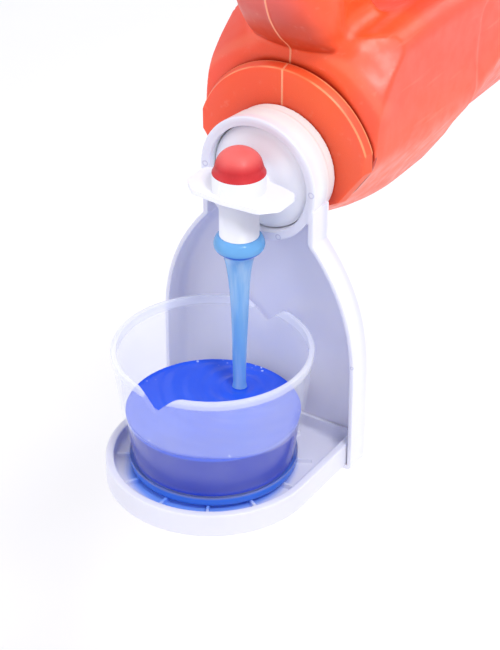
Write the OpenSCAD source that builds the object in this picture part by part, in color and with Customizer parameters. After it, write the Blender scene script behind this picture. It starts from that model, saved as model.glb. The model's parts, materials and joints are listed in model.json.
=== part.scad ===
// Laundry detergent jug lying on its side, with a press tap, a drip catcher
// that hangs on the tap's closure, and a measuring cup standing in the catcher.
// Millimetres. +Z up, +Y from the tap into the jug, +X to the right of someone
// who faces the tap. The origin lies on the jug's flat underside.

/* [Frame] */
// Height of the tap axis above the surface the jug lies on
axis_h = 45; // [45:0.5:50]
// Distance from the catcher's front plane back to the origin
rest_y = 150; // [130:1:170]

/* [Jug] */
// Distance from the catcher's front plane to the jug's base
jug_len = 272; // [250:1:290]
// Half width of the jug's belly
jug_half_w = 44; // [42:0.5:50]
// Height of the handle's top above the tap axis
jug_top = 118; // [112:1:124]
// Height of the finger gap's sill above the tap axis
sill_z = 51; // [48:1:54]
// Wall thickness of the jug
jug_wall = 2; // [1.6:0.1:2.4]
// Radius of the round boss that carries the neck
boss_r = 43.4; // [42:0.2:44.6]
// Distance from the catcher's front plane to the boss's front face
boss_y = 19.4; // [19.4:0.2:20.4]
// Radius of the handle's grip
grip_r = 14; // [12:0.5:15]

/* [Neck and closure] */
// Outer radius of the neck at the thread's root
neck_r = 19.2; // [19:0.1:19.4]
// Inner radius of the neck
neck_bore_r = 17; // [16.6:0.1:17.2]
// Pitch of the closure's thread
pitch = 4; // [3.6:0.1:4.2]
// Outer radius of the closure's skirt
skirt_r = 23.9; // [23.7:0.1:24]

/* [Tap] */
// Distance the tap's upright barrel stands in front of the catcher's front plane
barrel_y = 13.7; // [13:0.1:15]
// Radius of the nozzle
nozzle_r = 8.6; // [8.4:0.1:8.8]
// Distance from the tap axis down to the nozzle's mouth
nozzle_drop = 19.8; // [19:0.2:21]
// Half width of the finger wings
wing_half = 23.2; // [21:0.2:24]
// Radius of the button's collar
collar_r = 11.5; // [11.4:0.1:11.8]
// Height of the button's collar above the tap axis
collar_z = 9.7; // [9.5:0.1:10]
// Travel of the button
press = 4; // [3:0.5:4]

/* [Drip catcher] */
// Radius of the catcher's ring lip
lip_r = 28.4; // [28:0.1:29]
// Radius of the hole in the catcher's ring
ring_r = 24.4; // [24.3:0.05:24.6]
// Half width of the catcher's back plate
plate_half = 50; // [48:0.5:52]
// Distance from the tap axis down to the bottom of the back plate
plate_drop = 132.6; // [132:0.2:134]
// Depth of the back plate's rim
rim_d = 12.9; // [12.5:0.1:13.5]
// Thickness of the catcher's walls
plate_t = 2; // [1.8:0.1:2.2]
// Radius of the tray's round front
tray_r = 47.3; // [46.5:0.1:47.4]
// Distance from the catcher's front plane to the centre of the tray's round front
tray_y = 35.7; // [35:0.1:36.5]

/* [Cup] */
// Distance from the catcher's front plane to the cup's centre
cup_y = 34.7; // [34.3:0.1:35.2]
// Outer radius of the cup's rim
cup_rim_r = 43.8; // [43:0.1:44]
// Outer radius of the cup's foot
cup_foot_r = 37.2; // [36.5:0.1:38]
// Height of the cup
cup_h = 57.5; // [55:0.5:60]
// Wall thickness of the cup
cup_wall = 2.5; // [2:0.1:2.8]
// Depth of detergent in the cup
fill_h = 22; // [10:1:30]

/* [Hidden] */
$fn = 96;
lip_y = 6.4;                      // front of the neck's lip
seat_z = -9.5;                    // underside of the valve seat
guide_z = 3.2;                    // floor of the button's collar
vent = [-6, -11];                 // vent tube's axis, x and z
shelf_z = -axis_h;                // the surface the jug lies on
tray_top = -119.6;                // top of the tray's rim
tray_bot = tray_top - 10.9;       // underside of the tray
floor_z = -125;                   // top of the tray's floor
cup_z = -122.7;                   // the cup's foot, on the tray's ribs
cup_floor = cup_z + 3.2;          // inside floor of the cup
flare_z = -90;                    // where the back plate's sides start to curve in

// Everything below is laid out from the tap axis and moved to the row's frame here.
module at_tap() { translate([0, -rest_y, axis_h]) children(); }
// A solid of revolution about the Y axis: profile x is the radius, y runs along +Y.
module yrev(a = 360) { rotate([-90, 0, 0]) rotate_extrude(angle = a) children(); }
module ycyl(r, y0, y1, x = 0, z = 0) { translate([x, y0, z]) rotate([-90, 0, 0]) cylinder(r = r, h = y1 - y0); }

// Round the corners of a convex outline P, given anticlockwise, with radii R, inset by t.
function unit(v) = v / norm(v);
function arc_at(a, b, c, r, t, n) =
    let (u = unit(a - b), v = unit(c - b), half = acos(u * v) / 2, o = b + unit(u + v) * r / sin(half),
         p = b + u * r / tan(half) - o, q = b + v * r / tan(half) - o,
         a0 = atan2(p[1], p[0]), a1 = atan2(q[1], q[0]), d = (a1 - a0 + 720) % 360)
    [for (i = [0 : n]) o + (r - t) * [cos(a0 + d * i / n), sin(a0 + d * i / n)]];
function rounded(P, R, t = 0, n = 7) = let (m = len(P))
    [for (i = [0 : m - 1]) each arc_at(P[(i + m - 1) % m], P[i], P[(i + 1) % m], R[i], t, n)];
// Extrusions of flat outlines: (x, z) along Y, (y, z) along X, (x, y) along Z.
module along_y(y0, y1) { translate([0, y1, 0]) rotate([90, 0, 0]) linear_extrude(y1 - y0) children(); }
module along_x(w) { translate([-w, 0, 0]) rotate([90, 0, 90]) linear_extrude(2 * w) children(); }
module along_z(z0, z1) { translate([0, 0, z0]) linear_extrude(z1 - z0) children(); }

// ---- jug ----------------------------------------------------------------
// Section of the belly: flat sides that run in to a narrow underside, inset by t.
module belly_section(t) {
    w = jug_half_w;
    polygon(rounded([[-9, shelf_z - 2], [9, shelf_z - 2], [w, 6], [w, sill_z + 5], [-w, sill_z + 5], [-w, 6]],
                    [15, 15, 26, 16, 16, 26], t));
}
// Belly, tall back and handle root, each inset by t.
module belly(t) {
    difference() {
        intersection() {
            along_y(27.4 + t, jug_len - t) belly_section(t);
            yrev() polygon([[0, 27 + t], [49 - t, 27 + t], [54 - t, 31], [59.5 - t, 38], [64.5 - t, 46], [69 - t, 54], [76 - t, 70],
                [76 - t, jug_len - 40], [60 - t, jug_len - 8], [48 - t, jug_len - t], [0, jug_len - t]]);
        }
        // finger dip in the top
        along_y(60, 170) polygon([[-26 - t, sill_z + 20], [-26 - t, sill_z + 5.1], [-12, sill_z - t], [12, sill_z - t], [26 + t, sill_z + 5.1],
            [26 + t, sill_z + 20]]);
    }
}
module tall_back(t) {
    w = jug_half_w;
    intersection() {
        along_x(w) polygon(rounded([[149, 14], [jug_len, 14], [jug_len, jug_top], [162, jug_top]], [6, 6, 22, 15], t));
        along_y(140, 300) polygon(rounded([[-w + 1, 14], [w - 1, 14], [31, jug_top], [-31, jug_top]], [6, 6, 20, 20], t));
        along_z(-50, 150) polygon(rounded([[-w, 138], [w, 138], [w - 4, jug_len], [-w + 4, jug_len]], [38, 38, 16, 16], t));
    }
}
module handle_root(t) {
    intersection() {
        along_x(40) polygon(rounded([[24, 22], [78, 22], [56, jug_top - 3], [5, jug_top - 3]], [14, 14, 20, 22], t));
        along_y(-20, 90) polygon(rounded([[-29, 20], [29, 20], [20, jug_top - 3], [-20, jug_top - 3]], [14, 14, 19, 19], t));
        along_z(0, 150) polygon(rounded([[-28, 4], [28, 4], [28, 90], [-28, 90]], [24, 24, 14, 14], t));
    }
}
module jug_solid(t) {
    difference() {
        union() {
            belly(t);
            tall_back(t);
            handle_root(t);
            ycyl(grip_r - t, 36, 180, 0, jug_top - grip_r - 3.2);
        }
        translate([-100, 0, shelf_z - 50 + t]) cube([200, 400, 50]);
    }
}
// A ridge that climbs as it turns, as short arcs, each one a little further on.
module thread(r0, r1, y0, turns) {
    for (i = [0 : turns * 12 - 1])
        rotate([0, i * 30, 0]) translate([0, y0 + i * pitch / 12, 0])
            yrev(31) polygon([[r0, -0.9], [r1, -0.35], [r1, 0.35], [r0, 0.9]]);
}
// Sides that cut the boss's disc, inset by t: upright near the axis, slanting in below.
module boss_outline(t) {
    polygon(rounded([[-12, shelf_z + 3], [12, shelf_z + 3], [42, 1], [42, 50], [-42, 50], [-42, 1]], [16, 16, 8, 8, 8, 8], t));
}
module jug() {
    color([0.96, 0.29, 0.14]) at_tap() difference() {
        union() {
            jug_solid(0);
            // boss, cut down to the belly's sides and slanting flanks
            intersection() {
                yrev() polygon([[0, boss_y], [boss_r, boss_y], [boss_r + 1.2, boss_y + 1.2], [boss_r + 1.2, boss_y + 4.2],
                                [boss_r - 1.6, boss_y + 5.4], [boss_r - 1.6, 32], [0, 32]]);
                along_y(0, 40) boss_outline(0);
            }
            ycyl(neck_r, lip_y, boss_y + 1);
            thread(neck_r - 0.4, neck_r + 1, 9, 1.5);
        }
        difference() {
            jug_solid(jug_wall);
            ycyl(60, 0, 29);
        }
        intersection() {
            ycyl(boss_r - 3.6, boss_y + 2, 28.5);
            along_y(0, 40) boss_outline(2);
        }
        ycyl(28, boss_y + 2, 34);
        ycyl(neck_bore_r, lip_y - 1, boss_y + 4);
    }
}
// The jug's contents, level with the sill, clear of the neck's column where the vent tube turns.
module jug_detergent() {
    color([0.10, 0.30, 0.85]) at_tap() difference() {
        belly(jug_wall + 0.4);
        translate([-100, 0, shelf_z - 50 + jug_wall + 0.4]) cube([200, 400, 50]);
        translate([-100, 0, 30]) cube([200, 400, 100]);
        ycyl(19, 0, 84);
    }
}

// ---- closure and tap ------------------------------------------------------
module neck_gasket() {
    color([0.85, 0.85, 0.83]) at_tap() yrev() translate([16.8, 4.62]) square([3.2, lip_y - 4.64]);
}
module wing_outline() {
    // finger wings seen from above: x is across, y is along the tap axis
    hull() {
        for (s = [-1, 1]) {
            translate([s * (wing_half - 3), -barrel_y - 3.6]) circle(r = 3);
            translate([s * (wing_half - 4), -barrel_y + 5.6]) circle(r = 4);
            translate([s * 15, -barrel_y - 8.7]) circle(r = 3);
            translate([s * 14, -barrel_y + 8.2]) circle(r = 3);
        }
        translate([0, -barrel_y]) circle(r = 12.9);
    }
}
module tap_body() {
    color([0.95, 0.95, 0.97]) at_tap() difference() {
        union() {
            // closure: shallow cone, bevelled edge, skirt
            difference() {
                yrev() polygon([[0, 1.3], [12, 1.6], [22, 2.7], [skirt_r, 4.2], [skirt_r, 18.4], [skirt_r - 0.6, 19],
                                [0, 19]]);
                ycyl(neck_r + 1.4, 4.6, 20);
            }
            thread(neck_r + 1.6, neck_r + 0.5, 11, 1.5);
            // duct from the closure to the barrel
            ycyl(6.6, -barrel_y, 3, 0, -3);
            // barrel and nozzle
            translate([0, -barrel_y, -nozzle_drop]) cylinder(r = nozzle_r, h = nozzle_drop + 1);
            // wings and the button's collar
            translate([0, 0, -0.2]) linear_extrude(2.2) wing_outline();
            translate([0, -barrel_y, 0]) cylinder(r = collar_r, h = collar_z);
            // socket for the vent tube
            difference() {
                ycyl(4, 4, 10, vent[0], vent[1]);
                ycyl(2.62, 5.6, 11, vent[0], vent[1]);
            }
        }
        // duct's bore, through the closure
        ycyl(4, -barrel_y, 10, 0, -3);
        // nozzle's mouth, valve seat, chamber, guide's hole and the collar's well
        translate([0, -barrel_y, -nozzle_drop - 1]) cylinder(r = 7.2, h = nozzle_drop + 1 + seat_z);
        translate([0, -barrel_y, seat_z - 1]) cylinder(r = 5, h = 4);
        translate([0, -barrel_y, seat_z + 2]) cylinder(r = 6.5, h = 20);
        translate([0, -barrel_y, guide_z]) cylinder(r = 10.7, h = 20);
        // vent passage
        ycyl(1, 0, 7, vent[0], vent[1]);
    }
}
module button_skirt() {
    color([0.80, 0.13, 0.14]) at_tap() translate([0, -barrel_y, collar_z]) rotate_extrude()
        polygon([[10.5, 0], [11.35, 0], [11.3, 0.7], [10.85, 1.3], [10.5, 1.3]]);
}
module button_dome() {
    // lower edge 8, shoulder 12.6, crown 21 above the tap axis
    color([0.84, 0.16, 0.17]) at_tap() translate([0, -barrel_y, 0]) {
        difference() {
            rotate_extrude() polygon(concat([[0, 8], [10.2, 8]],
                [for (a = [0 : 6 : 90]) [10.2 * cos(a), 12.6 + 8.4 * sin(a)]]));
            translate([0, 0, 7]) rotate_extrude() polygon(concat([[0, 0], [8.8, 0]],
                [for (a = [0 : 6 : 90]) [8.8 * cos(a), 5.6 + 6.9 * sin(a)]]));
        }
        // peg that meets the insert
        translate([0, 0, 17.5]) cylinder(r = 3, h = 2.5);
    }
}
module button_insert() {
    color([0.92, 0.92, 0.94]) at_tap() translate([0, -barrel_y, 0]) difference() {
        union() {
            translate([0, 0, 16.3]) cylinder(r = 5, h = 1.2);
            translate([0, 0, 13.2]) cylinder(r = 3.2, h = 3.1);
        }
        translate([0, 0, 12]) cylinder(r = 2.07, h = 4.4);
    }
}
module valve_stem() {
    color([0.92, 0.92, 0.94]) at_tap() translate([0, -barrel_y, -13.4]) {
        cylinder(r = 2.05, h = 29.8);
        translate([0, 0, -0.6]) cylinder(r1 = 1.4, r2 = 2.6, h = 0.9);
    }
}
module valve_plug() {
    color([0.25, 0.25, 0.27]) at_tap() translate([0, -barrel_y, seat_z - 0.05]) difference() {
        rotate_extrude() polygon([[0, 0], [6.3, 0], [6.6, -0.6], [6.4, -1.8], [4, -3.5], [0, -3.5]]);
        translate([0, 0, -5]) cylinder(r = 2.05, h = 6);
        translate([0, 0, -3.6]) cylinder(r = 2.7, h = 0.5);
    }
}
module stem_guide() {
    color([0.90, 0.90, 0.92]) at_tap() translate([0, -barrel_y, 0]) difference() {
        union() {
            translate([0, 0, guide_z]) cylinder(r = 8.3, h = 1);
            translate([0, 0, -0.4]) cylinder(r = 6.46, h = guide_z + 0.5);
        }
        translate([0, 0, -1]) cylinder(r = 2.12, h = 6);
        translate([0, 0, -1]) cylinder(r = 4, h = 2.4);
    }
}
module stem_oring() {
    color([0.10, 0.10, 0.11]) at_tap() translate([0, -barrel_y, 0.45]) rotate_extrude()
        translate([3.02, 0]) circle(r = 0.92, $fn = 48);
}
module vent_tube() {
    color([0.88, 0.90, 0.93]) at_tap() difference() {
        ycyl(2.6, 5.8, 66, vent[0], vent[1]);
        ycyl(1.6, 5, 67, vent[0], vent[1]);
    }
}
module vent_valve() {
    color([0.75, 0.76, 0.80]) at_tap() translate([vent[0], 0, vent[1]]) difference() {
        yrev() polygon([[0, 62], [3.8, 62], [3.8, 67.5], [1.2, 76], [0, 76]]);
        ycyl(2.64, 60, 66.2);
        yrev() polygon([[0, 66], [1.6, 66], [0.4, 77], [0, 77]]);
    }
}

// ---- drip catcher ---------------------------------------------------------
function plate_w(z) = z < flare_z ? plate_half
    : max(lip_r - 0.3, plate_half - (plate_half - 28) * pow((z - flare_z) / 66, 2.55));
// Bell-shaped outline of the back plate, inset by t; x across, y up.
module plate_outline(t) {
    c = t > 0 ? 0.3 : 1.5;
    polygon(concat(
        [for (a = [0 : 6 : 180]) [(lip_r - t) * cos(a), (lip_r - t) * sin(a)]],
        [for (z = [-6 : -4 : flare_z]) [-plate_w(z) + t, z]],
        [[-plate_half + t, -plate_drop + t + c], [-plate_half + t + c, -plate_drop + t], [plate_half - t - c, -plate_drop + t],
         [plate_half - t, -plate_drop + t + c]],
        [for (i = [0 : 21]) let (z = -90 + i * 4) [plate_w(z) - t, z]]));
}
module catcher_back() {
    color([0.93, 0.93, 0.96]) at_tap() difference() {
        union() {
            // rim that runs round the plate's edge, and the plate at its back, tapered round the sleeve
            intersection() {
                difference() {
                    along_y(0, rim_d) plate_outline(0);
                    along_y(-1, rim_d - plate_t) plate_outline(plate_t);
                }
                union() {
                    yrev() polygon([[0, -1], [lip_r, -1], [lip_r, 0.5], [26.3, 19], [0, 19]]);
                    along_y(-1, rim_d + 1) translate([-60, -150]) square([120, 142]);
                }
            }
            // tapered sleeve that hangs on the closure
            yrev() polygon([[ring_r - 1, 0], [lip_r - 0.5, 0], [lip_r, 0.5], [26.3, 19], [ring_r - 1, 19]]);
        }
        ycyl(ring_r, -1, 20);
        yrev() polygon([[0, -1], [lip_r - 2.0, -1], [lip_r - 2.0, 0], [ring_r, 2.6], [0, 2.6]]);
        // slots for the tray's tongues
        for (s = [-1, 1]) translate([s * 28 - 5.4, rim_d - plate_t - 1, -124.6]) cube([10.8, 5, 3.4]);
    }
}
// Round-fronted outline of the tray, inset by t, from its front to y1.
module tray_outline(t, y1) {
    intersection() {
        translate([0, -tray_y]) circle(r = tray_r - t);
        translate([-60, -100]) square([120, 100 + y1]);
    }
    translate([-tray_r + t, -tray_y]) square([2 * (tray_r - t), tray_y + y1]);
}
module drip_tray() {
    back = rim_d - plate_t - 0.3;
    color([0.94, 0.94, 0.97]) at_tap() {
        difference() {
            translate([0, 0, tray_bot]) linear_extrude(tray_top - tray_bot) tray_outline(0, back);
            // well above the floor
            translate([0, 0, floor_z]) linear_extrude(20) tray_outline(3.7, back - 2);
            // hollow underside
            translate([0, 0, tray_bot - 1]) linear_extrude(floor_z - 2 - tray_bot + 1) tray_outline(2, back - 2);
        }
        // back wall, a little taller than the rim
        translate([-tray_r + 3.7, back - 2, floor_z - 1]) cube([2 * tray_r - 7.4, 2, 7.6]);
        // ribs that the cup stands on
        difference() {
            union() {
                for (a = [0 : 30 : 150]) translate([0, -cup_y, floor_z - 0.5]) rotate([0, 0, a])
                    translate([-40, -0.6, 0]) cube([80, 1.2, cup_z - floor_z + 0.48]);
                translate([0, -cup_y, floor_z - 0.5]) difference() {
                    cylinder(r = 31, h = cup_z - floor_z + 0.48);
                    translate([0, 0, -1]) cylinder(r = 29.8, h = 8);
                }
            }
            translate([-60, back - 2.2, -140]) cube([120, 20, 40]);
        }
        // tongues that hook through the back plate
        for (s = [-1, 1]) translate([s * 28 - 5, back - 0.5, -124.2]) cube([10, plate_t + 0.7, 2.6]);
    }
}

// ---- cup --------------------------------------------------------------------
module v_notch() {
    // open V with a round bottom, cut through the rim at the front and at the back
    translate([0, 60, 0]) rotate([90, 0, 0]) linear_extrude(120) union() {
        polygon([[-8.6, 1], [-1.7, -7.2], [1.7, -7.2], [8.6, 1]]);
        translate([0, -6.7]) circle(r = 1.9);
    }
}
module measuring_cup() {
    color([0.80, 0.86, 0.97, 0.5]) at_tap() translate([0, -cup_y, cup_z]) difference() {
        rotate_extrude() polygon([[0, 0.8], [33, 0.8], [33.4, 0], [cup_foot_r - 0.8, 0], [cup_foot_r, 0.8], [cup_foot_r, 6],
            [cup_rim_r, cup_h - 0.8], [cup_rim_r - 0.8, cup_h], [cup_rim_r - cup_wall + 0.6, cup_h],
            [cup_rim_r - cup_wall, cup_h - 0.8], [cup_foot_r - cup_wall, 6], [cup_foot_r - cup_wall, 4.4],
            [cup_foot_r - cup_wall - 1.2, 3.2], [0, 3.2]]);
        translate([0, 0, cup_h]) v_notch();
    }
}
module detergent_fill() {
    // sits just inside the cup's wall
    slope = (cup_rim_r - cup_foot_r) / (cup_h - 6.8);
    r1 = cup_foot_r - cup_wall - 0.05;
    color([0.10, 0.32, 0.92]) at_tap() translate([0, -cup_y, cup_z]) rotate_extrude()
        polygon([[0, 3.25], [r1 - 1.2, 3.25], [r1, 4.45], [r1, 6], [r1 + (fill_h - 2.8) * slope, fill_h + 3.2], [0, fill_h + 3.2]]);
}

jug();
jug_detergent();
neck_gasket();
tap_body();
button_skirt();
button_dome();
button_insert();
valve_stem();
valve_plug();
stem_guide();
stem_oring();
vent_tube();
vent_valve();
catcher_back();
drip_tray();
measuring_cup();
detergent_fill();
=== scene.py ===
# A detergent jug that lies on its side, with its press tap, hanging drip catcher, tray and measuring cup.
# Shapes are built from signed distance functions and lathes, in millimetres about the tap's axis, then moved to the row frame.
import json, math
import bpy, bmesh
import numpy as np
from mathutils import Vector, Matrix


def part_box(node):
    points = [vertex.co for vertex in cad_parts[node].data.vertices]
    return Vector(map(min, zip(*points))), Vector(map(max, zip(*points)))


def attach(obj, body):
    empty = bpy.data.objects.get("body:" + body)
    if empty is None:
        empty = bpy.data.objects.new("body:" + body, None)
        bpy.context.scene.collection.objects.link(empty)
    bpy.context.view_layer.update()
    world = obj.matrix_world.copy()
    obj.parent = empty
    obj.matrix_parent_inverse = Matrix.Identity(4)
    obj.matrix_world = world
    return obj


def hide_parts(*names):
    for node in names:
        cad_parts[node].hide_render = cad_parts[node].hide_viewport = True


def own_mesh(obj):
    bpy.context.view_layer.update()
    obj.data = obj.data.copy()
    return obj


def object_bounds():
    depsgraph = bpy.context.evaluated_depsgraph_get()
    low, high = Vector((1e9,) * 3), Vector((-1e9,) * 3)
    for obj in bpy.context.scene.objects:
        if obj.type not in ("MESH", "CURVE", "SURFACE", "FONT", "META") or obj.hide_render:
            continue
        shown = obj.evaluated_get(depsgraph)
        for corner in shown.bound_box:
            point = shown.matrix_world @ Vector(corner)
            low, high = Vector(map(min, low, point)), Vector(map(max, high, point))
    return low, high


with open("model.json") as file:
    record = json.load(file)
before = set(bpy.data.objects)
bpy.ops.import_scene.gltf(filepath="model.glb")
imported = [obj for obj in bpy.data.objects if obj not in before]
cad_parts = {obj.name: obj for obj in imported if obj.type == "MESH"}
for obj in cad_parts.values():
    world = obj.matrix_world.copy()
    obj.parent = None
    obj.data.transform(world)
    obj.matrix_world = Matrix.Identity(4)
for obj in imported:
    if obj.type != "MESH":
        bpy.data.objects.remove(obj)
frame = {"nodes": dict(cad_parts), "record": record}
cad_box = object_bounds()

scene = bpy.context.scene
TAP = next(j for j in frame["record"]["behaviour"]["joints"] if j["name"] == "closure_turn")["pos_m"]


def to_row(p):
    """Millimetres about the tap's axis to metres in the row frame."""
    return np.asarray(p, float) / 1000 + np.array(TAP)


# ---- distance functions -----------------------------------------------------

def smin(a, b, k):
    h = np.clip(0.5 + 0.5 * (b - a) / k, 0, 1)
    return b + (a - b) * h - k * h * (1 - h)


def smax(a, b, k):
    return -smin(-a, -b, k)


def rmax(a, b, r):
    """Intersection with a rounded edge of radius r."""
    return np.minimum(-r, np.maximum(a, b)) + np.hypot(np.maximum(r + a, 0), np.maximum(r + b, 0))


def ramp(a, b, v):
    t = np.clip((v - a) / (b - a), 0, 1)
    return t * t * (3 - 2 * t)


def steps(*spans):
    """Grid coordinates from (start, stop, step) spans that follow one another."""
    out = [np.linspace(a, b, max(1, round((b - a) / h)), endpoint=False) for a, b, h in spans]
    return np.concatenate(out + [[spans[-1][1]]])


def net(f, xs, ys, zs, passes=3):
    """Surface of f = 0 as quads: one vertex for each cell that the surface crosses, moved onto the surface."""
    v = f(*np.meshgrid(xs, ys, zs, indexing="ij"))
    s = v < 0
    corners = [(a, b, c) for a in (0, 1) for b in (0, 1) for c in (0, 1)]
    n = [d - 1 for d in v.shape]
    count = sum(s[a:a + n[0], b:b + n[1], c:c + n[2]].astype(np.int8) for a, b, c in corners)
    cells = np.argwhere((count > 0) & (count < 8))
    index = np.full(n, -1)
    i, j, k = cells.T
    index[i, j, k] = np.arange(len(cells))
    total, hits = np.zeros((len(cells), 3)), np.zeros(len(cells))
    for a in corners:
        for axis in range(3):
            if a[axis]:
                continue
            b = tuple(1 if q == axis else a[q] for q in range(3))
            va, vb = v[i + a[0], j + a[1], k + a[2]], v[i + b[0], j + b[1], k + b[2]]
            m = (va < 0) != (vb < 0)
            t = np.where(m, va / np.where(m, va - vb, 1), 0)[:, None]
            pa = np.c_[xs[i + a[0]], ys[j + a[1]], zs[k + a[2]]]
            pb = np.c_[xs[i + b[0]], ys[j + b[1]], zs[k + b[2]]]
            total += np.where(m[:, None], pa + (pb - pa) * t, 0)
            hits += m
    p = total / hits[:, None]
    size = np.c_[np.diff(xs)[i], np.diff(ys)[j], np.diff(zs)[k]]
    low, high = np.c_[xs[i], ys[j], zs[k]] - 0.25 * size, np.c_[xs[i + 1], ys[j + 1], zs[k + 1]] + 0.25 * size
    e = 0.02
    for _ in range(passes):
        x, y, z = p.T
        here = f(x, y, z)
        g = np.c_[f(x + e, y, z) - f(x - e, y, z), f(x, y + e, z) - f(x, y - e, z), f(x, y, z + e) - f(x, y, z - e)] / (2 * e)
        p = np.clip(p - 0.8 * here[:, None] * g / np.maximum((g * g).sum(1), 0.2)[:, None], low, high)
    quads = []
    for axis in range(3):
        sl = [slice(1, -1)] * 3
        first, second = list(sl), list(sl)
        first[axis], second[axis] = slice(None, -1), slice(1, None)
        a, b = s[tuple(first)], s[tuple(second)]
        for out in (True, False):
            at = np.argwhere((a & ~b) if out else (~a & b))
            at = at + np.array([0 if q == axis else 1 for q in range(3)])
            u, w = [(1, 2), (2, 0), (0, 1)][axis]
            ring = []
            for du, dw in ((-1, -1), (0, -1), (0, 0), (-1, 0)):
                c = at.copy()
                c[:, u] += du
                c[:, w] += dw
                ring.append(index[c[:, 0], c[:, 1], c[:, 2]])
            q = np.stack(ring, 1)
            quads.append(q if out else q[:, ::-1])
    return p, np.concatenate(quads)


def lathe(profile, turns=160, axis="z", centre=(0, 0, 0), shape=None):
    """Closed profile of (radius, height) turned about an axis. Points on the axis are joined to one vertex."""
    verts, faces, rings = [], [], []
    for r, h in profile:
        if r < 1e-6:
            rings.append([len(verts)] * turns)
            verts.append((0, 0, h))
        else:
            rings.append(list(range(len(verts), len(verts) + turns)))
            verts += [(r * math.cos(2 * math.pi * t / turns), r * math.sin(2 * math.pi * t / turns), h) for t in range(turns)]
    for a, b in zip(rings, rings[1:] + rings[:1]):
        for t in range(turns):
            q = [a[t], a[(t + 1) % turns], b[(t + 1) % turns], b[t]]
            q = [w for n, w in enumerate(q) if w not in q[:n]]
            if len(q) > 2:
                faces.append(q)
    p = np.array(verts, float)
    if shape is not None:
        p = shape(p)
    if axis == "y":
        p = np.c_[p[:, 0], p[:, 2], -p[:, 1]]
    return p + np.array(centre), faces


def make(name, points, faces, material, sharp=38, more=()):
    me = bpy.data.meshes.new(name)
    verts, polys = [np.asarray(points)], [list(map(int, f)) for f in faces]
    for p, q in more:
        base = sum(len(v) for v in verts)
        verts.append(np.asarray(p))
        polys += [[int(w) + base for w in f] for f in q]
    me.from_pydata(to_row(np.concatenate(verts)).tolist(), [], polys)
    bm = bmesh.new()
    bm.from_mesh(me)
    bmesh.ops.recalc_face_normals(bm, faces=bm.faces)
    bm.to_mesh(me)
    bm.free()
    me.polygons.foreach_set("use_smooth", [True] * len(me.polygons))
    me.set_sharp_from_angle(angle=math.radians(sharp))
    me.materials.append(material)
    o = bpy.data.objects.new(name, me)
    scene.collection.objects.link(o)
    return o


# ---- materials --------------------------------------------------------------

def lin(h):
    c = [int(h[i:i + 2], 16) / 255 for i in (1, 3, 5)]
    return tuple(v / 12.92 if v <= 0.04045 else ((v + 0.055) / 1.055) ** 2.4 for v in c) + (1,)


class Nodes:
    def __init__(self, name):
        self.mat = bpy.data.materials.new(name)
        self.mat.use_nodes = True
        self.t = self.mat.node_tree
        self.shader = self.t.nodes["Principled BSDF"]
        self.out = self.t.nodes["Material Output"]
        self.place = self.add("ShaderNodeTexCoord").outputs["Object"]

    def add(self, kind, **inputs):
        n = self.t.nodes.new(kind)
        for k, v in inputs.items():
            setattr(n, k, v)
        return n

    def link(self, a, b):
        self.t.links.new(a, b)

    def put(self, socket, v):
        if isinstance(v, bpy.types.NodeSocket):
            self.link(v, socket)
        else:
            socket.default_value = v

    def math(self, op, a, b=0.0, c=0.0, clamp=False):
        n = self.add("ShaderNodeMath", operation=op, use_clamp=clamp)
        for s, v in zip(n.inputs, (a, b, c)):
            self.put(s, v)
        return n.outputs[0]

    def mix(self, f, a, b, mode="MIX"):
        n = self.add("ShaderNodeMix", data_type="RGBA", blend_type=mode)
        self.put(n.inputs[0], f)
        self.put(n.inputs[6], a)
        self.put(n.inputs[7], b)
        return n.outputs[2]

    def noise(self, scale, detail=3, rough=0.5, stretch=(1, 1, 1)):
        m = self.add("ShaderNodeMapping")
        m.inputs["Scale"].default_value = stretch
        self.link(self.place, m.inputs[0])
        n = self.add("ShaderNodeTexNoise")
        n.inputs["Scale"].default_value, n.inputs["Detail"].default_value, n.inputs["Roughness"].default_value = scale, detail, rough
        self.link(m.outputs[0], n.inputs["Vector"])
        return n.outputs["Fac"]

    def cells(self, scale, feature="F1"):
        n = self.add("ShaderNodeTexVoronoi", feature=feature)
        n.inputs["Scale"].default_value = scale
        self.link(self.place, n.inputs["Vector"])
        return n.outputs["Distance"]

    def span(self, v, a, b, c=0.0, d=1.0, smooth=True):
        n = self.add("ShaderNodeMapRange", interpolation_type="SMOOTHSTEP" if smooth else "LINEAR")
        for s, w in zip(n.inputs, (v, a, b, c, d)):
            self.put(s, w)
        return n.outputs[0]

    def xyz(self):
        """Object coordinates as millimetres about the tap's axis."""
        m = self.add("ShaderNodeMapping")
        m.inputs["Scale"].default_value = (1000, 1000, 1000)
        m.inputs["Location"].default_value = tuple(-1000 * v for v in TAP)
        self.link(self.place, m.inputs[0])
        s = self.add("ShaderNodeSeparateXYZ")
        self.link(m.outputs[0], s.inputs[0])
        return list(s.outputs), m.outputs[0]

    def near(self, vec, p, r, soft=0.3):
        """1 within r of point p, in millimetres."""
        n = self.add("ShaderNodeVectorMath", operation="DISTANCE")
        self.link(vec, n.inputs[0])
        n.inputs[1].default_value = p
        return self.span(n.outputs["Value"], r - soft, r + soft, 1, 0)

    def bump(self, height, strength, dist):
        n = self.add("ShaderNodeBump")
        n.inputs["Strength"].default_value, n.inputs["Distance"].default_value = strength, dist
        self.link(height, n.inputs["Height"])
        self.link(n.outputs[0], self.shader.inputs["Normal"])

    def set(self, **kw):
        for k, v in kw.items():
            self.put(self.shader.inputs[k.replace("_", " ")], v)
        return self


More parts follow.
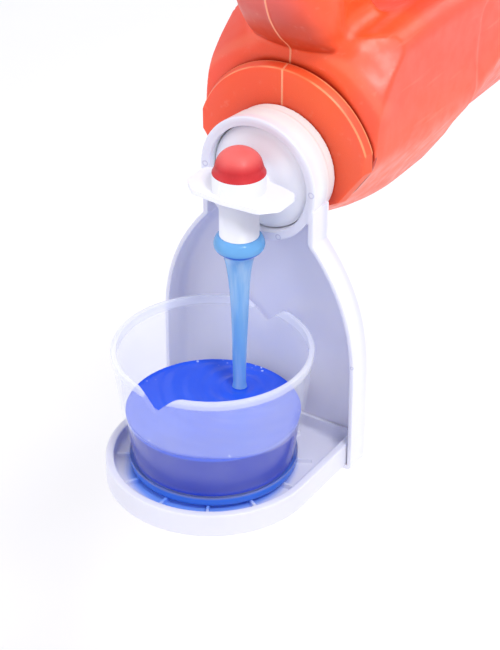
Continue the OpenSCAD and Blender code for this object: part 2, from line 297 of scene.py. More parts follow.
def plastic(name, base, dark, rough=(0.34, 0.46), grain=900, bump=0.06, sss=0.0, radius=(0.004, 0.003, 0.002), spec=0.5, scuff=0.25):
    n = Nodes(name)
    cloud = n.span(n.noise(28, 4), 0.3, 0.75)
    fine = n.noise(grain, 2)
    col = n.mix(n.math("MULTIPLY", cloud, scuff), lin(base), lin(dark))
    n.set(Base_Color=col, Roughness=n.span(n.noise(160, 3), 0.35, 0.7, rough[0], rough[1]))
    n.shader.inputs["Specular IOR Level"].default_value = spec
    if sss:
        n.shader.inputs["Subsurface Weight"].default_value = sss
        n.shader.inputs["Subsurface Radius"].default_value = radius
        n.shader.inputs["Subsurface Scale"].default_value = 1.0
    n.bump(fine, bump, 0.0002)
    return n


def jug_material():
    n = Nodes("jug_hdpe")
    (x, y, z), vec = n.xyz()
    side = n.math("ABSOLUTE", x)
    rad0 = n.math("SQRT", n.math("ADD", n.math("MULTIPLY", x, x), n.math("MULTIPLY", z, z)))
    orange, sheen_pink, deep, glow = lin("#FC4F2C"), lin("#F55D4E"), lin("#D93A22"), lin("#FF6A33")
    # random tone between orange and glow; painted sheen: pinkish on the flanks where the wall turns away; darker
    # red towards the bottom; painted light: bright orange in the scoop
    col = n.mix(n.span(n.noise(9, 3), 0.35, 0.7, 0, 0.5), orange, glow)
    flank_sheen = n.math("MULTIPLY", n.span(side, 24, 40), n.span(z, -20, 45))
    col = n.mix(n.math("MULTIPLY", flank_sheen, 0.6), col, sheen_pink)
    under = n.span(z, -10, -40)
    col = n.mix(n.math("MULTIPLY", under, 0.6), col, lin("#EC4B35"))
    # painted light: the scoop beside the handle lit bright orange
    scoop_light = n.math("MULTIPLY", n.math("MULTIPLY", n.span(z, 50, 62), n.span(z, 96, 84)),
                   n.math("MULTIPLY", n.span(y, 32, 44), n.span(y, 80, 62)))
    col = n.mix(n.math("MULTIPLY", scoop_light, 0.85), col, lin("#FF5F22"))
    # painted shade: dark red in the groove behind the boss
    groove_shade = n.math("MULTIPLY", n.math("MULTIPLY", n.span(y, 23.6, 24.2), n.span(y, 27.4, 26.6)), n.math("MULTIPLY", n.span(z, 47, 42), n.span(n.math("SQRT", n.math("ADD", n.math("MULTIPLY", x, x), n.math("MULTIPLY", z, z))), 44.4, 43.9)))
    col = n.mix(n.math("MULTIPLY", groove_shade, 0.8), col, lin("#B02A18"))
    # painted shade on the handle's root: dusky pink on its front, dark red underneath
    geo = n.add("ShaderNodeNewGeometry")
    sep = n.add("ShaderNodeSeparateXYZ")
    n.link(geo.outputs["Normal"], sep.inputs[0])
    nose_shade = n.math("MULTIPLY", n.math("MULTIPLY", n.span(z, 60, 72), n.span(y, 34, 22)), n.span(x, 24, 4))
    col = n.mix(n.math("MULTIPLY", nose_shade, 0.75), col, lin("#D5605F"))
    below_shade = n.math("MULTIPLY", n.math("MULTIPLY", n.span(sep.outputs[2], -0.15, -0.65), n.span(z, 46, 50)), n.span(y, 50, 30))
    col = n.mix(n.math("MULTIPLY", below_shade, 0.8), col, lin("#B83418"))
    glint = n.math("MULTIPLY", n.span(n.math("ABSOLUTE", n.math("SUBTRACT", rad0, 53)), 0.5, 3.5, 1, 0), n.math("MULTIPLY", n.span(y, 26, 28), n.span(y, 40, 32)))
    col = n.mix(n.math("MULTIPLY", n.math("MULTIPLY", glint, n.span(z, 20, 34)), 0.15), col, lin("#FFA888"))
    seam = n.math("MULTIPLY", n.span(side, 0.62, 0.3), n.span(y, 2, 4))
    col = n.mix(n.math("MULTIPLY", seam, 0.7), col, lin("#FFB48C"))
    # painted highlight lines along the edges of the boss's bevel
    rad = n.math("SQRT", n.math("ADD", n.math("MULTIPLY", x, x), n.math("MULTIPLY", z, z)))
    front_edge_highlight = n.math("MULTIPLY", n.span(n.math("ABSOLUTE", n.math("SUBTRACT", rad, 43.5)), 0.15, 0.5, 1, 0), n.span(y, 20.6, 20.0))
    back_edge_highlight = n.math("MULTIPLY", n.math("MULTIPLY", n.span(rad, 44.0, 44.5), n.span(rad, 45.1, 44.9)), n.math("MULTIPLY", n.span(y, 23.0, 23.5), n.span(y, 24.6, 24.2)))
    bevel_highlight = n.math("MULTIPLY", n.math("MAXIMUM", front_edge_highlight, back_edge_highlight), n.span(n.noise(60, 2), 0.3, 0.6, 0.35, 0.85))
    col = n.mix(bevel_highlight, col, lin("#FFA070"))
    # fine drawn lines of the blow mould, and pale scuffs
    lines = n.noise(260, 2, stretch=(1, 0.08, 1))
    col = n.mix(n.span(lines, 0.62, 0.78, 0, 0.10), col, lin("#FFC0A8"))
    ao = n.add("ShaderNodeAmbientOcclusion", samples=6)
    ao.inputs["Distance"].default_value = 0.016
    col = n.mix(n.span(ao.outputs["AO"], 0.82, 0.30, 0, 0.75), col, lin("#B5301A"))
    n.set(Base_Color=col, Roughness=n.span(n.noise(120, 3), 0.3, 0.7, 0.33, 0.47))
    s = n.shader.inputs
    s["Subsurface Weight"].default_value = 0.35
    s["Subsurface Radius"].default_value = (0.009, 0.0025, 0.0012)
    s["Subsurface Scale"].default_value = 1.0
    s["Specular IOR Level"].default_value = 0.45
    h = n.math("ADD", n.math("MULTIPLY", n.noise(70, 3), 1.0), n.math("MULTIPLY", n.noise(900, 2), 0.12))
    n.bump(h, 0.10, 0.0012)
    return n.mat


# Ejector pin marks; when any are given, the painted shade and painted cyan below are switched on as well.
def white_material(name, base="#EEEEF8", dark="#DCDCF0", pin_marks_and_shade=(), sss=0.12, rough=(0.30, 0.42)):
    n = plastic(name, base, dark, rough=rough, sss=sss, scuff=0.35, bump=0.05)
    col = n.shader.inputs["Base Color"].links[0].from_socket
    (x, y, z), vec = n.xyz()
    # painted shade: lavender on the faces at the front plane of the ring and flange
    face_shade = n.math("MULTIPLY", n.span(y, 0.45, 0.1), n.span(y, -0.6, -0.3))
    col = n.mix(n.math("MULTIPLY", face_shade, 0.45 if pin_marks_and_shade else 0.0), col, lin("#D2D2E6"))
    # painted shade: lavender-grey on the recessed panel, fading towards the bottom
    recess_shade = n.math("MULTIPLY", n.math("MULTIPLY", n.span(y, 6.0, 10.6), n.span(y, 11.6, 11.2)), n.span(z, -110, -50, 0.25, 1.0))
    col = n.mix(n.math("MULTIPLY", recess_shade, 0.8 if pin_marks_and_shade else 0.0), col, lin("#D3D4E8"))
    # painted light: a pale cyan on the upper sleeve cone, cancelling pink light bounced from the jug
    cone = n.math("MULTIPLY", n.span(y, 1.0, 6.0), n.span(z, -12, 6))
    col = n.mix(n.math("MULTIPLY", cone, 0.8 if pin_marks_and_shade else 0.0), col, lin("#EAFBFB"))
    for p, r in pin_marks_and_shade:
        outer, inner = n.near(vec, p, r, 0.2), n.near(vec, p, r - 0.5, 0.2)
        ring = n.math("SUBTRACT", outer, inner, clamp=True)
        col = n.mix(n.math("MULTIPLY", ring, 0.55), col, lin("#A9A9CC"))
    n.set(Base_Color=col)
    return n.mat


def red_material():
    n = Nodes("button_red")
    dots = n.span(n.cells(1500), 0.10, 0.22, 1, 0)
    pick = n.span(n.noise(420, 2), 0.52, 0.62)
    col = n.mix(n.span(n.noise(120, 3), 0.35, 0.7, 0, 0.5), lin("#CF2129"), lin("#BC1820"))
    col = n.mix(n.math("MULTIPLY", n.math("MULTIPLY", dots, pick), 0.35), col, lin("#EE8078"))
    (x, y, z), vec = n.xyz()
    # painted highlight: the top of the dome lighter
    col = n.mix(n.span(z, 13.5, 19.5, 0, 0.75), col, lin("#F4736E"))
    n.set(Base_Color=col, Roughness=n.span(n.noise(500, 3), 0.3, 0.7, 0.42, 0.55))
    n.shader.inputs["Subsurface Weight"].default_value = 0.06
    n.shader.inputs["Subsurface Radius"].default_value = (0.003, 0.0006, 0.0005)
    n.shader.inputs["Subsurface Scale"].default_value = 1.0
    n.bump(n.noise(1400, 2), 0.12, 0.0002)
    return n.mat


def cup_material():
    n = Nodes("frosted_pp")
    (x, y, z), vec = n.xyz()
    haze = n.span(n.noise(26, 4), 0.3, 0.7)
    # painted refraction: the foot band blue and more opaque, standing in for the blue liquid seen through the base
    foot = n.span(z, -119.8, -117.2, 1, 0)
    rim = n.span(z, -69.4, -68.2)
    col = n.mix(n.math("MULTIPLY", haze, 0.3), lin("#F4F6FF"), lin("#E4E9FC"))
    col = n.mix(foot, col, lin("#3F80F4"))
    zc = n.math("SUBTRACT", z, n.span(y, -40, -72, 0, 3.2))
    veil = n.math("ADD", 0.03, n.math("MULTIPLY", n.span(zc, -98.7, -98.2), 0.135))
    veil = n.math("ADD", veil, n.math("MULTIPLY", haze, 0.04))
    veil = n.math("ADD", veil, n.math("MULTIPLY", rim, 0.30))
    veil = n.math("SUBTRACT", veil, n.math("MULTIPLY", n.span(z, -117.6, -116.8, 1, 0), 0.035))
    veil = n.math("ADD", veil, n.math("MULTIPLY", foot, 0.75))
    n.set(Base_Color=col, Roughness=n.span(n.noise(60, 3), 0.3, 0.7, 0.14, 0.26), Alpha=veil)
    n.shader.inputs["IOR"].default_value = 1.5
    n.bump(n.noise(260, 3), 0.04, 0.0003)
    return n.mat


def blue_material(name="detergent_blue"):
    n = Nodes(name)
    (x, y, z), vec = n.xyz()
    deep = n.span(z, -118.5, -115.5, 1, 0)
    col = n.mix(n.span(n.noise(40, 3), 0.3, 0.7, 0, 0.4), lin("#1A50E0"), lin("#2B62EC"))
    col = n.mix(n.span(z, -99.0, -98.0, 1, 0), col, lin("#0E2EB2"))
    col = n.mix(deep, col, lin("#1448E8"))
    foam = n.math("MULTIPLY", n.span(n.cells(420), 0.16, 0.30, 1, 0), n.span(n.noise(90, 2), 0.5, 0.62))
    edge = n.add("ShaderNodeVectorMath", operation="DISTANCE")
    n.link(vec, edge.inputs[0])
    edge.inputs[1].default_value = (0, -34.7, -97.5)
    rim = n.math("MULTIPLY", n.span(edge.outputs["Value"], 33.5, 36.6), n.span(z, -98.6, -98.0))
    col = n.mix(n.math("MULTIPLY", foam, n.math("MULTIPLY", rim, 0.8)), col, lin("#C8DCFF"))
    n.set(Base_Color=col, Roughness=n.span(n.noise(90, 3), 0.3, 0.7, 0.06, 0.14))
    n.shader.inputs["Specular IOR Level"].default_value = 0.5
    n.bump(n.noise(60, 2), 0.1, 0.0006)
    return n.mat


def stream_material():
    n = Nodes("detergent_stream")
    (x, y, z), vec = n.xyz()
    streak = n.noise(300, 3, stretch=(1, 1, 0.06))
    col = n.mix(n.span(streak, 0.35, 0.7), lin("#84C2F8"), lin("#B4DBFD"))
    col = n.mix(n.span(z, -29.5, -27.5), col, lin("#7CC0F8"))
    # painted shade: dark blue on the underside of the bulge below the nozzle
    lip_shade = n.math("MULTIPLY", n.span(z, -28.2, -27.4), n.span(z, -25.4, -26.4))
    col = n.mix(n.math("MULTIPLY", lip_shade, 0.8), col, lin("#1F56D8"))
    n.set(Base_Color=col, Roughness=n.span(n.noise(200, 2), 0.3, 0.7, 0.04, 0.10))
    n.shader.inputs["Transmission Weight"].default_value = 0.35
    n.shader.inputs["IOR"].default_value = 1.33
    n.bump(streak, 0.15, 0.0008)
    return n.mat


M_JUG = jug_material()
M_RING = white_material("white_abs", pin_marks_and_shade=[((27.0, 0, 0.4), 1.5), ((-26.4, 0, 0.4), 1.4), ((10.8, 0, -24.6), 1.4), ((49.0, 0, -78.1), 0.9)])
M_TRAY = white_material("white_abs_tray", base="#E3E3F0", dark="#D2D2E6")
def paint_blue_cast(mat):
    """Painted blue light cast through the cup onto the tray's floor round the cup's foot, where the floor is also
    glossier.
    """
    n = Nodes.__new__(Nodes)
    n.mat, n.t = mat, mat.node_tree
    n.shader = n.t.nodes["Principled BSDF"]
    n.place = n.add("ShaderNodeTexCoord").outputs["Object"]
    (x, y, z), vec = n.xyz()
    dx, dy = x, n.math("ADD", y, 34.7)
    rad = n.math("SQRT", n.math("ADD", n.math("MULTIPLY", dx, dx), n.math("MULTIPLY", dy, dy)))
    lean = n.math("ADD", n.math("MULTIPLY", n.math("ABSOLUTE", dx), 0.07), n.math("MULTIPLY", dy, 0.06))
    reach = n.math("ADD", rad, n.math("ADD", lean, n.math("MULTIPLY", n.noise(60, 3), 2.5)))
    blue_cast = n.math("MULTIPLY", n.span(reach, 37.5, 43.2, 1, 0), n.span(z, -121.5, -122.2))
    col = n.shader.inputs["Base Color"].links[0].from_socket
    n.put(n.shader.inputs["Base Color"], n.mix(n.math("MULTIPLY", blue_cast, 0.85), col, lin("#4C92F8")))
    n.put(n.shader.inputs["Roughness"], n.math("SUBTRACT", 0.36, n.math("MULTIPLY", blue_cast, 0.28)))


paint_blue_cast(M_TRAY)
M_TAP = white_material("white_pp", base="#F2F2FA", dark="#DCDCF0")
M_RED = red_material()
M_CUP = cup_material()
M_BLUE = blue_material()
M_STREAM = stream_material()
M_NAT = plastic("natural_pp", "#E6E6E0", "#CFCFC6", sss=0.2).mat
M_GREY = plastic("grey_rubber", "#8E8E90", "#6E6E72", rough=(0.55, 0.7), bump=0.2).mat
M_BLACK = plastic("black_rubber", "#1C1C1E", "#2C2C30", rough=(0.5, 0.7), bump=0.2).mat
M_CLEAR = plastic("clear_pe", "#DDE3EA", "#C8CFD8", rough=(0.15, 0.3), sss=0.1).mat
M_SIL = plastic("silicone", "#E4DCD2", "#CFC6BA", rough=(0.4, 0.6), sss=0.15).mat
M_FOAM = plastic("foam_seal", "#E8E8E4", "#C9C9C4", rough=(0.8, 0.95), grain=2500, bump=0.5).mat
M_FILL = plastic("detergent_inside", "#1F52D8", "#173FB0", rough=(0.08, 0.2)).mat

for node, mat in {"neck_gasket": M_FOAM, "button_insert": M_TAP, "valve_stem": M_NAT, "valve_plug": M_GREY,
                  "stem_guide": M_NAT, "stem_oring": M_BLACK, "vent_tube": M_CLEAR, "vent_valve": M_SIL}.items():
    for s in frame["nodes"][node].material_slots:
        s.link = "OBJECT"
        s.material = mat

# ---- jug --------------------------------------------------------------------

def table(points, start, stop, blur):
    """A smooth curve through (at, value) points, as a function."""
    at = np.arange(start - 12, stop + 12, 0.2)
    v = np.interp(at, [p[0] for p in points], [p[1] for p in points])
    k = np.exp(-0.5 * (np.arange(-60, 61) * 0.2 / blur) ** 2)
    v = np.convolve(np.pad(v, 60, mode="edge"), k / k.sum(), mode="valid")
    return lambda q: np.interp(q, at, v)


# front of the hump above the boss, and the radius of the shoulder behind the boss
NOSE = table([(40, 26.5), (48.4, 25.2), (50.4, 24.5), (54.3, 21.3), (57.3, 18.1), (62.4, 14.2), (69.4, 9.6), (74.6, 7.3),
              (79.5, 5.7), (95, 3.6), (120, 3.4)], 36, 122, 1.6)
REACH = table([(20, 40), (24.4, 41), (25.6, 48), (26.6, 51), (28.5, 53.6), (31, 56.2), (38, 61.6), (46, 66.8), (54, 71), (70, 78),
               (90, 84), (120, 97)], 18, 280, 0.9)
KEEL = table([(20, 25.0), (27, 26.2), (33, 29.0), (50, 34.2), (55, 35.8), (80, 41.2), (95, 44.5), (290, 44.5)], 18, 280, 1.5)
VALLEY = np.array([(0, 25, 47), (20, 30.5, 47.5), (30, 40, 48.5), (37.5, 56, 48), (42, 78, 42), (43, 110, 28), (43, 145, 9)], float)
CREST = np.array([(18, 24, 57), (25.3, 35.9, 56.5), (29, 48, 57), (32, 64.6, 57.5), (31, 90, 57.5)], float)


def along(line, ax, y, z):
    """Squared distance to a line of points."""
    p = np.stack([ax, y, z], -1)
    near = np.full(np.shape(ax), 1e9)
    for a, b in zip(line[:-1], line[1:]):
        d = b - a
        t = np.clip(((p - a) @ d) / (d @ d), 0, 1)
        near = np.minimum(near, ((p - a - t[..., None] * d) ** 2).sum(-1))
    return near


def jug_body(x, y, z):
    ax = np.sqrt(x * x + 0.04)
    r = np.sqrt(x * x + z * z + 0.01)
    w = 43.3 + 0.7 * ramp(25, 33, y)
    label = ramp(122, 160, y) * (1 - ramp(246, 262, y))
    d1 = 31.5 + 2.2 * ramp(27, 80, y) - 7.0 * label
    zb = -45 + 7 * (1 - ramp(27, 56, y))
    d2 = KEEL(y)
    top = 57.5 - 6.0 * (1 - ramp(8, 30, ax))
    s = rmax(ax - w, 0.82 * ax - 0.572 * z - d1, 5.0)
    s = rmax(s, 0.5 * ax - 0.866 * z - d2, 4.0)
    s = rmax(s, zb - z, 6.0)
    s = rmax(s, (z - top) * 0.97, 9.5)
    s = rmax(s, (r - REACH(y)) * 0.85, 1.0)
    s = np.maximum(s, 25.1 - y)
    s = rmax(s, y - 272, 14)
    # hump that carries the handle's front
    hw = 23.2 + 3.5 * (1 - ramp(50, 60, z)) - 6.8 * ramp(22, 48, y) * ramp(51, 64, z) * (1 - ramp(88, 104, z))
    front = (NOSE(z) + 4.5 * (x / 20) ** 2 - y) * 0.78
    back = 0.973 * y + 0.230 * z - 80.9
    h = rmax(rmax(front, ax - hw, 8), rmax(z - 115.5, 40 - z, 1), 6)
    h = rmax(h, back, 8)
    grip = np.hypot(x * 15 / 13, z - 100.8) - 14.6
    grip = rmax(grip, np.maximum(34 - y, y - 190), 6)
    hw2 = 43.2 - 12.2 * ramp(48, 118, z)
    tall = rmax(ax - hw2, z - 118, 15)
    tall = rmax(tall, 156 - 0.06 * (z - 60) - y, 16)
    tall = rmax(tall, y - 272, 15)
    tall = np.maximum(tall, 14 - z)
    body = smin(s, h, 5.5)
    body = smin(body, tall, 5)
    body = smin(body, grip, 9)
    body = rmax(body, y - 272, 9)
    body = rmax(body, ax - 44.0, 2)
    body = rmax(body, z - 118, 6)
    # crest beside the handle's root, and the soft valley under it
    fade = 1 - ramp(118, 150, y)
    body = body + 1.5 * np.exp(-along(VALLEY, ax, y, z) / 170.0) * fade
    body = body - 0.8 * np.exp(-along(CREST, ax, y, z) / 90.0)
    # bare label panel sunk into each side
    q = np.maximum(np.abs(y - 187) - 61, 0), np.maximum(np.abs(z - 12) - 28, 0)
    panel = np.hypot(*q) - 10
    body = body + 1.3 * (1 - ramp(-2.6, 0.2, panel)) * ramp(20, 32, ax)
    # stub that the boss stands on
    cut = rmax(0.82 * ax - 0.572 * z - 30.0, 0.5 * ax - 0.866 * z - 24.1, 2.0)
    core = np.maximum(np.maximum(r - 42.3, np.maximum(ax - 40.6, cut)), np.maximum(22 - y, y - 30))
    body = np.minimum(body, core)
    # mould seam
    body = body - 0.32 * np.clip(1 - (x / 0.7) ** 2, 0, 1)
    return body


def jug_outside(x, y, z):
    return np.maximum(jug_body(x, y, z), -np.maximum(np.hypot(x, z) - 17.0, y - 40))


def jug_liquid(x, y, z):
    return np.maximum(np.maximum(jug_body(x, y, z) + 3.2, z - LEVEL), 27 - y)


h = 1.5
jx = steps((-45.5, -1.25, h), (-1.25, -0.25, 0.5), (-0.25, 0.25, 0.5), (0.25, 1.25, 0.5), (1.25, 45.5, h))
jy = steps((3, 18, 1.5), (18, 28, 0.55), (28, 80, h * 0.85), (80, 274, h * 1.1))
jz = steps((-47, 119.5, h))
LEVEL = (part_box("jug_detergent")[1][2] - TAP[2]) * 1000
points, faces = net(jug_outside, jx, jy, jz)


def boss_shape(p):
    """Cuts the round boss off at its sides and below, and raises the mould seam on it."""
    a = np.arctan2(-p[:, 1], p[:, 0])
    r = np.hypot(p[:, 0], p[:, 1])
    c, s = np.abs(np.cos(a)), np.sin(a)
    flat = np.full(len(p), 60.0)
    for nx, nz, d in ((1, 0, 42.2), (0.82, -0.572, 31.5), (0.5, -0.866, 25.6)):
        dot = nx * c + nz * s
        flat = np.minimum(flat, np.where(dot > 0.05, d / np.maximum(dot, 0.05), 60.0))
    limit = flat - (44.7 - r)
    k = np.where(r > 30, np.minimum(r, limit) / r, 1)
    q = p * np.c_[k, k, np.ones(len(p))]
    x = q[:, 0]
    ridge = np.where((s > 0) & (np.abs(x) < 0.6), 0.28 * (1 - (x / 0.6) ** 2), 0)
    q[:, 2] -= np.where(q[:, 2] < 20, ridge, 0)
    return q


boss = lathe([(17, 19.4), (24, 19.4), (31, 19.4), (37, 19.4), (41, 19.4), (43.0, 19.4), (43.25, 19.5), (43.45, 19.75), (44.55, 23.3), (44.7, 23.6),
              (44.65, 23.9), (44.4, 24.05), (38, 24.05), (17, 24.05)], 720, "y", (0, 0, 0), boss_shape)
neck = lathe([(17, 6.4), (18.7, 6.4), (19.2, 6.9), (19.2, 22), (17, 22)], 160, "y")
jug = make("jug_shell", points, faces, M_JUG, sharp=42, more=[boss, neck])
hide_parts("jug")
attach(jug, "jug")

points, faces = net(jug_liquid, steps((-43, 43, 3.0)), steps((26, 272, 3.2)), np.r_[steps((-45, LEVEL - 1.5, 3.0)), LEVEL + 0.5])
inside = make("jug_contents", points, faces, M_FILL)
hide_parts("jug_detergent")
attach(inside, "jug")

# ---- catcher ----------------------------------------------------------------

LIP, RING, PLATE, DROP, RIM = 28.4, 24.4, 50.0, 132.6, 12.9


def plate_w(z):
    t = np.clip((z + 90) / 66, 0, 1)
    return np.maximum(PLATE - 22 * t ** 2.55, LIP - 0.3)


def catcher(x, y, z):
    ax = np.abs(x)
    r = np.sqrt(x * x + z * z + 1e-4)
    t = np.clip((z + 90) / 66, 0, 1)
    slope = 22 * 2.55 / 66 * t ** 1.55
    side = (ax - plate_w(z)) / np.sqrt(1 + slope ** 2)
    low = rmax(rmax(side, -DROP - z, 2.2), z + 6, 0.1)
    outline = np.minimum(r - LIP, low)
    cone = (r - np.interp(y, [-5, 0.5, 19, 25], [28.4, 28.4, 27.0, 26.6])) * 0.99
    solid = rmax(rmax(outline, -y, 0.45), y - RIM, 0.3)
    well = rmax(outline + 2.0, y - (RIM - 2.0), 4.0)
    solid = rmax(solid, -well, 0.35)
    solid = np.maximum(solid, np.minimum(cone, z + 8))
    sleeve = rmax(rmax(cone, -y, 0.45), y - 19, 0.3)
    sleeve = np.maximum(sleeve, RING - 1 - r)
    body = smin(solid, sleeve, 1.2)
    body = rmax(body, RING - r, 0.4)
    slots = np.maximum(np.maximum(np.abs(ax - 28) - 5.4, np.abs(z + 122.9) - 1.7), 8 - y)
    return np.maximum(body, -slots)


g = 0.75
cx = steps((-51, 51, g))
cy = steps((-0.8, 1.2, 0.3), (1.2, 9.6, 0.7), (9.6, 13.4, 0.38), (13.4, 19.6, 0.7))
cz = steps((-133.6, -108, g * 0.8), (-108, 29.2, g))
points, faces = net(catcher, cx, cy, cz)
back_plate = make("catcher_shell", points, faces, M_RING, sharp=40)
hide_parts("catcher_back")
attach(back_plate, "catcher")

# ---- tray -------------------------------------------------------------------

TR, TC, TT, TB, TF, BACK = 47.3, -35.7, -119.6, -130.5, -125.0, 10.6


def tray(x, y, z):
    ax = np.abs(x)
    d = np.hypot(x, np.minimum(y - TC, 0)) - TR
    d = rmax(d, y - BACK, 0.8)
    inner = np.maximum(np.hypot(x, np.minimum(y - TC, 0)) - TR + 3.7, y - (BACK - 2))
    solid = rmax(rmax(d, z - TT, 0.6), TB - z, 0.5)
    wall = np.maximum(np.maximum(np.abs(y - (BACK - 1)) - 1.0, ax - (TR - 3.7)), np.maximum(z + 118.4, -126.5 - z))
    solid = np.minimum(solid, wall)
    well = rmax(inner, TF - z, 1.6)
    solid = rmax(solid, -well, 0.5)
    under = np.maximum(np.maximum(np.hypot(x, np.minimum(y - TC, 0)) - TR + 2, y - (BACK - 2)), z - (TF - 2))
    solid = np.maximum(solid, -under)
    px, py = x, y + 34.7
    rib = np.full(np.shape(x), 1e9)
    for a in range(0, 180, 30):
        c, s = math.cos(math.radians(a)), math.sin(math.radians(a))
        rib = np.minimum(rib, np.maximum(np.abs(-s * px + c * py) - 0.65, np.abs(c * px + s * py) - 43.4))
    rib = np.minimum(rib, np.abs(np.hypot(px, py) - 30.4) - 0.65)
    rib = np.maximum(np.maximum(rib, z + 122.74), np.maximum(TF - 0.6 - z, y - (BACK - 1)))
    solid = smin(solid, rib, 0.4)
    tongue = np.maximum(np.maximum(np.abs(ax - 28) - 5, np.abs(z + 122.9) - 1.3), np.abs(y - 11.4) - 1.3)
    return np.minimum(solid, tongue)


g = 0.7
tx = steps((-48, 48, g))
ty = steps((-84, 7.8, g), (7.8, 13.2, 0.5))
tz = steps((-131.2, -118.0, 0.42))
points, faces = net(tray, tx, ty, tz)
dish = make("tray_shell", points, faces, M_TRAY, sharp=40)
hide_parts("drip_tray")
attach(dish, "tray")

# ---- tap --------------------------------------------------------------------

for node in ("tap_body",):
    o = frame["nodes"][node]
    for s in o.material_slots:
        s.link = "OBJECT"
        s.material = M_TAP
    w = o.modifiers.new("weld", "WELD")
    w.merge_threshold = 1e-6
    b = o.modifiers.new("bevel", "BEVEL")
    b.width, b.segments, b.limit_method, b.angle_limit = 0.0004, 2, "ANGLE", math.radians(35)

# ---- button -----------------------------------------------------------------

BY = -13.7
arc = [(10.2 * math.cos(math.radians(a)), 12.4 + 8.6 * math.sin(math.radians(a))) for a in range(0, 91, 5)]
inner = [(8.8 * math.cos(math.radians(a)), 12.0 + 7.0 * math.sin(math.radians(a))) for a in range(90, -1, -6)]
dome = lathe([(10.2, 8.0)] + arc[:-1] + [(0, 21.0)] + [(0, inner[0][1])] + inner[1:] + [(8.8, 8.0)], 128, "z", (0, BY, 0))
button = make("button_cap", dome[0], dome[1], M_RED)
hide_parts("button_dome")
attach(button, "button")
flare = lathe([(10.22, 9.7), (11.5, 9.7), (11.47, 9.95), (11.3, 10.3), (11.0, 10.8), (10.75, 11.3), (10.52, 11.9), (10.36, 12.6), (10.24, 13.3),
               (10.22, 13.3)], 128, "z", (0, BY, 0))
foot = make("button_foot", flare[0], flare[1], M_RED)
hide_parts("button_skirt")
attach(foot, "closure")

# ---- cup --------------------------------------------------------------------

CY, CZ, CH = -34.7, -122.7, 57.5
FOOT, MOUTH, WALL, FILL = 37.2, 43.8, 2.5, 22.0


NOTCH = table([(-3, 6.2), (0, 9.1), (1.5, 8.2), (2.6, 6.9), (5.4, 4.0), (7.8, 1.9), (9.8, 0.6), (12.0, 0), (20, 0)], -1, 60, 0.6)


def notch(x):
    """Depth of the V below the rim at a distance x from its middle."""
    return NOTCH(np.abs(x))


def cup_shape(p):
    z = p[:, 2]
    ang = np.hypot(p[:, 0], p[:, 1]) > 30
    depth = np.where(ang, notch(p[:, 0]), 0)
    start = CH - 14
    t = np.clip((z - start) / (CH - start), 0, 1)
    q = p.copy()
    q[:, 2] = z - depth * t
    return q


outer = [(FOOT - 0.3, 0.25), (FOOT, 0.8)] + [(FOOT + (MOUTH - FOOT) * (hh - 6) / (CH - 6.8) if hh > 6 else FOOT, hh)
                                             for hh in list(np.linspace(2, CH - 0.8, 30))]
rim = [(MOUTH - 0.25, CH - 0.25), (MOUTH - 0.8, CH), (MOUTH - WALL + 0.7, CH), (MOUTH - WALL + 0.2, CH - 0.25)]
inside = [(r - 1.3 - (WALL - 1.3) * ramp(30, 50, hh), hh) for r, hh in outer[::-1] if hh > 5]
cup = lathe([(0, 0.8), (33, 0.8), (33.4, 0), (FOOT - 0.8, 0)] + outer + rim + inside +
            [(FOOT - 1.7, 3.7), (FOOT - 2.7, 3.2), (0, 3.2)], 480, "z", (0, CY, CZ), cup_shape)
cup = make("cup_frosted", cup[0], cup[1], M_CUP)
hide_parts("measuring_cup")
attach(cup, "cup")

# ---- detergent --------------------------------------------------------------


def swell(p):
    q = p.copy()
    top = p[:, 2] > FILL + 3.1
    d = np.hypot(p[:, 0], p[:, 1] - (BY - CY))
    wave = 0.45 * np.cos(2 * math.pi * d / 7.5) * np.exp(-d / 30) + 0.9 * np.exp(-(d / 3.4) ** 2)
    q[:, 2] += np.where(top & (np.hypot(p[:, 0], p[:, 1]) < 36), wave, 0)
    return q


slope = (MOUTH - FOOT) / (CH - 6.8)
r1 = FOOT - 1.35
rt = r1 + (FILL - 2.8) * slope
pool = [(0, 3.25), (r1 - 1.2, 3.25), (r1, 4.45), (r1, 6), (rt, FILL + 3.2 + 0.7), (rt - 0.5, FILL + 3.45), (rt - 1.4, FILL + 3.2)]
pool += [(rr, FILL + 3.2) for rr in np.linspace(rt - 2.2, 0.7, 44)] + [(0, FILL + 3.2)]
pool = lathe(pool, 180, "z", (0, CY, CZ), swell)
pool = make("detergent_pool", pool[0], pool[1], M_BLUE, sharp=60)
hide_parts("detergent_fill")
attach(pool, "cup")

line = [(0, -19.9), (8.5, -19.9), (9.3, -20.2), (10.2, -21.2), (10.9, -22.6), (11.2, -24.0), (11.0, -25.3), (10.2, -26.6), (8.9, -27.7),
        (7.5, -28.9), (6.8, -30.6), (6.2, -32.6), (5.6, -35.6), (5.2, -38.4), (4.8, -42), (4.35, -47.5), (4.0, -55), (3.7, -63),
        (3.45, -70), (3.2, -79), (3.0, -88), (2.9, -95), (3.3, -97.2), (0, -97.4)]
fine = []
for (ra, ha), (rb, hb) in zip(line, line[1:]):
    m = max(1, int(math.hypot(rb - ra, hb - ha) / 1.6))
    fine += [(ra + (rb - ra) * t / m, ha + (hb - ha) * t / m) for t in range(m)]
fine.append(line[-1])


def ripple(p):
    q = p.copy()
    a = np.arctan2(p[:, 1], p[:, 0])
    k = 1 + 0.035 * np.sin(3 * a + 0.11 * p[:, 2]) * ramp(-24, -40, p[:, 2])
    q[:, 0] *= k
    q[:, 1] *= k
    return q


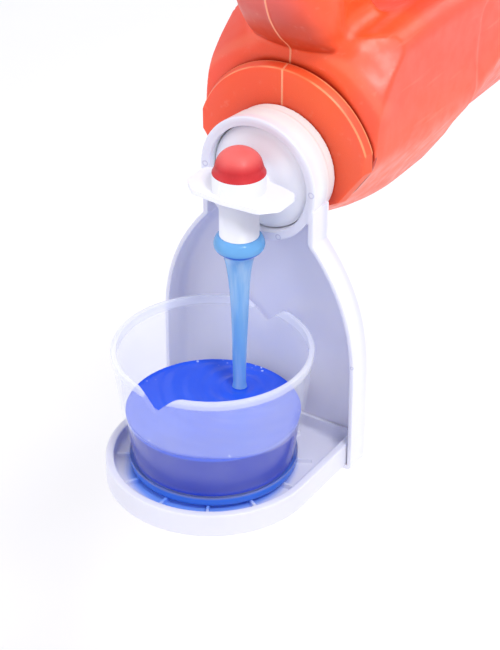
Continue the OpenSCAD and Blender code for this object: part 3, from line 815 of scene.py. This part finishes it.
# the stream is cut above the cup, so that its lower part goes with the cup
CUT = -62.0
cut_r = float(np.interp(-CUT, [-h for r, h in line[2:-1]], [r for r, h in line[2:-1]]))
upper = [q for q in fine if q[1] > CUT] + [(cut_r, CUT), (0, CUT)]
lower = [(0, CUT - 0.03), (cut_r, CUT - 0.03)] + [q for q in fine if q[1] < CUT - 0.5]
for name, part, body in (("detergent_stream", upper, "closure"), ("detergent_stream_foot", lower, "cup")):
    part = lathe(part, 72, "z", (0, BY, 0), ripple)
    part = make(name, part[0], part[1], M_STREAM, sharp=70)
    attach(part, body)
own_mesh(part)

# ---- stage, light and camera ------------------------------------------------

fm = Nodes("studio_floor")
fm.set(Base_Color=fm.mix(fm.span(fm.noise(3, 3), 0.3, 0.7, 0, 0.4), lin("#FFFFFF"), lin("#F7F7FA")), Roughness=0.9)
bm = bmesh.new()
bmesh.ops.create_grid(bm, x_segments=8, y_segments=8, size=6)
me = bpy.data.meshes.new("studio_floor")
bm.to_mesh(me)
bm.free()
me.materials.append(fm.mat)
floor = bpy.data.objects.new("studio_floor", me)
floor.location = (0, 0, cad_box[0][2] - 0.35)
scene.collection.objects.link(floor)

world = bpy.data.worlds.new("studio")
scene.world = world
world.use_nodes = True
bg = world.node_tree.nodes["Background"]
bg.inputs[0].default_value = (0.955, 0.96, 1.0, 1)
bg.inputs[1].default_value = 0.84


def lamp(name, at, to, size, power, colour=(1, 1, 1)):
    d = bpy.data.lights.new(name, "AREA")
    d.shape, d.size, d.energy, d.color = "DISK", size, power, colour
    o = bpy.data.objects.new(name, d)
    o.location = at
    o.rotation_euler = (Vector(to) - Vector(at)).to_track_quat("-Z", "Y").to_euler()
    scene.collection.objects.link(o)


mid = (0, -0.1, 0.03)
lamp("key", (0.85, -0.6, 1.35), mid, 0.45, 13, (1.0, 0.99, 0.975))
lamp("fill", (-1.1, -1.1, 0.7), mid, 0.9, 3.5, (0.95, 0.96, 1.0))
lamp("rear", (0.3, 1.2, 1.0), mid, 0.8, 5)

az, el = math.radians(33.11), math.radians(32.29)
back = Vector((math.sin(az) * math.cos(el), -math.cos(az) * math.cos(el), math.sin(el)))
right = Vector((math.cos(az), math.sin(az), 0))
up = back.cross(right)
target = Vector(to_row((7.58, -17.0, -61.1)))
spot = target + back * 0.86338
m = Matrix((right, up, back)).transposed().to_4x4()
m.translation = spot
cam = bpy.data.cameras.new("camera")
co = bpy.data.objects.new("camera", cam)
co.matrix_world = m
cam.sensor_width = 36
cam.sensor_fit = "HORIZONTAL"
cam.lens = 2000 * 36 / 500
cam.clip_start = 0.01
scene.collection.objects.link(co)
scene.camera = co
scene.view_settings.view_transform = "Standard"
